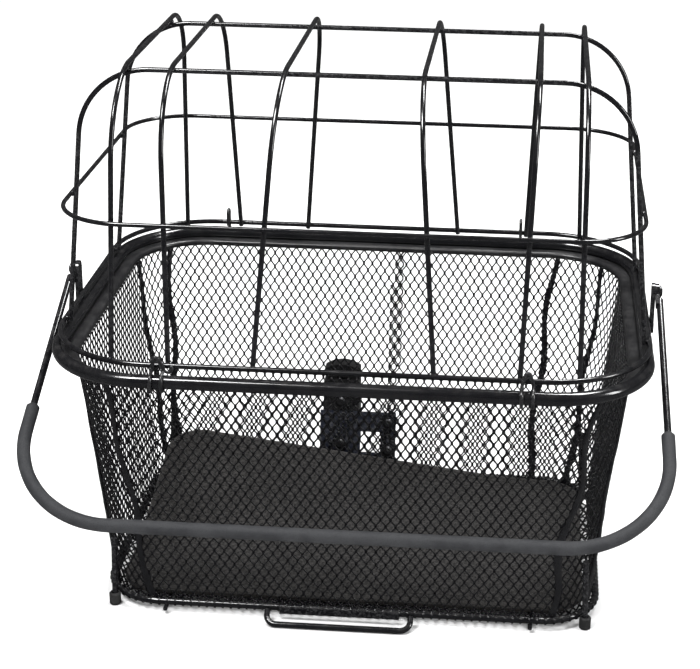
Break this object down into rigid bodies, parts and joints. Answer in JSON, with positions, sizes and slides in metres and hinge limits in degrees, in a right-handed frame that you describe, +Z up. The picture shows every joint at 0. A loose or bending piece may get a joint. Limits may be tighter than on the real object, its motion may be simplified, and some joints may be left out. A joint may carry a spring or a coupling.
{
  "type": "handlebar basket",
  "caption": "Expanded-metal handlebar basket for a small pet, with a hinged wire dome, wire clips, a swinging foam-covered handle, a floor mat and a back adapter.",
  "frame": {"origin": "middle of the footprint at the soles of the feet: the centre of the part's box in X and Y, with the handle hanging in front at rest", "axes": "+X to the right seen from the front, -Y to the front (the rider's far side), +Y to the handlebar side, +Z up"},
  "size_m": [0.4274, 0.3463, 0.3772],
  "materials": {
    "frame_paint": "glossy black powder coat",
    "mesh_paint": "black powder coat on expanded metal",
    "hem_paint": "semi-gloss black powder coat",
    "clip_paint": "black coated spring wire",
    "plate_paint": "satin blue-black paint",
    "foot_rubber": "matt black rubber",
    "grip_foam": "dark grey closed-cell foam",
    "mat_fabric": "charcoal ribbed matting",
    "fixing_steel": "blackened zinc",
    "spring_steel": "bright spring wire",
    "adapter_plastic": "fine-grained black plastic"
  },
  "bodies": {
    "basket": {"rim_tube": "frame_paint", "hem_band": "hem_paint", "mesh_wall": "mesh_paint", "mesh_floor": "mesh_paint", "base_ring": "frame_paint", "runner_left": "frame_paint", "runner_right": "frame_paint", "leg_front_left": "frame_paint", "leg_front_right": "frame_paint", "leg_rear_left": "frame_paint", "leg_rear_right": "frame_paint", "foot_front_left": "foot_rubber", "foot_front_right": "foot_rubber", "foot_rear_left": "foot_rubber", "foot_rear_right": "foot_rubber", "front_loop": "frame_paint", "front_strip": "frame_paint", "mat": "mat_fabric", "ear_left": "frame_paint", "ear_right": "frame_paint", "rivet_left": "fixing_steel", "rivet_right": "fixing_steel", "rear_eye_left": "clip_paint", "rear_eye_right": "clip_paint", "adapter_plate": "plate_paint", "adapter_housing": "adapter_plastic", "adapter_screws": "fixing_steel", "adapter_nuts": "fixing_steel", "button_spring": "spring_steel"},
    "handle": {"handle_bail": "frame_paint", "handle_grip": "grip_foam"},
    "dome": {"dome_ring": "frame_paint", "dome_mid_ring": "frame_paint", "dome_long_hoop_front": "frame_paint", "dome_long_hoop_rear": "frame_paint", "dome_cross_hoop_1": "frame_paint", "dome_cross_hoop_2": "frame_paint", "dome_cross_hoop_3": "frame_paint", "dome_cross_hoop_4": "frame_paint", "dome_cross_hoop_5": "frame_paint", "dome_cross_hoop_6": "frame_paint"},
    "clip_left": {"clip_left": "clip_paint"},
    "clip_right": {"clip_right": "clip_paint"},
    "button": {"release_button": "adapter_plastic"}
  },
  "joints": [
    {"name": "handle_swing", "type": "hinge", "parent": "basket", "child": "handle", "pos_m": [0, 0.00568, 0.214], "axis": [1, 0, 0], "range_deg": [-210, 25]},
    {"name": "dome_hinge", "type": "hinge", "parent": "basket", "child": "dome", "pos_m": [0, 0.16868, 0.198], "axis": [-1, 0, 0], "range_deg": [0, 105], "deforming": ["clip_left", "clip_right"]},
    {"name": "clip_left_hinge", "type": "hinge", "parent": "basket", "child": "clip_left", "pos_m": [-0.117, -0.13032, 0.19], "axis": [1, 0, 0], "range_deg": [0, 95]},
    {"name": "clip_right_hinge", "type": "hinge", "parent": "basket", "child": "clip_right", "pos_m": [0.117, -0.13032, 0.19], "axis": [1, 0, 0], "range_deg": [0, 95]},
    {"name": "button_press", "type": "slide", "parent": "basket", "child": "button", "axis": [0, 0, -1], "range_m": [0, 0.003], "stiffness_N_per_m": 400, "springref_m": -0.002, "deforming": ["button_spring"]}
  ]
}
